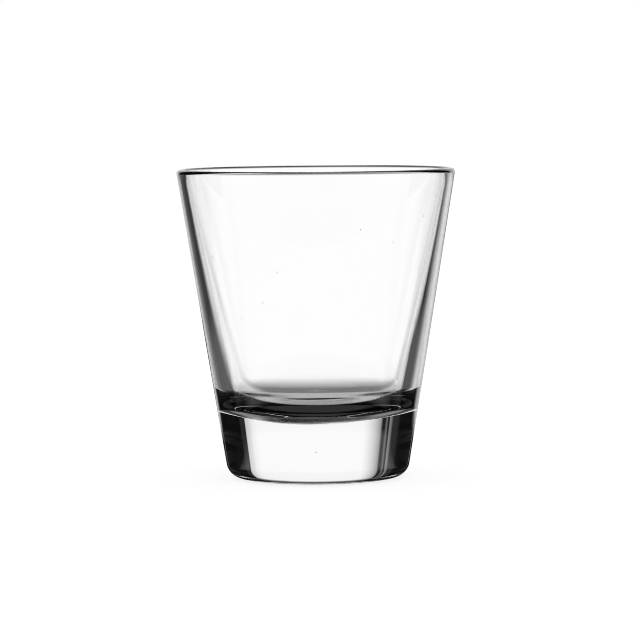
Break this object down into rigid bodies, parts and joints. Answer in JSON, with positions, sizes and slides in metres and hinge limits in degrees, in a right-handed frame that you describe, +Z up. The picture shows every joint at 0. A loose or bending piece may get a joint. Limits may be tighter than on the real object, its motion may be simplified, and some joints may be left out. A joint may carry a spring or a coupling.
{
  "type": "double old fashioned glass",
  "caption": "Tapered clear drinking glass with a full-round lip, a deep round cup and a thick solid base that stands on a flat ring; holds a drink over ice.",
  "frame": {"origin": "middle of the foot, on the table", "axes": "+Z up along the axis of the glass, towards the mouth; the glass is round, so X and Y are alike"},
  "size_m": [0.096, 0.096, 0.1065],
  "materials": {
    "clear_glass": "clear, smooth, fire-polished lip"
  },
  "bodies": {
    "root": {"tumbler": "clear_glass"}
  },
  "joints": []
}
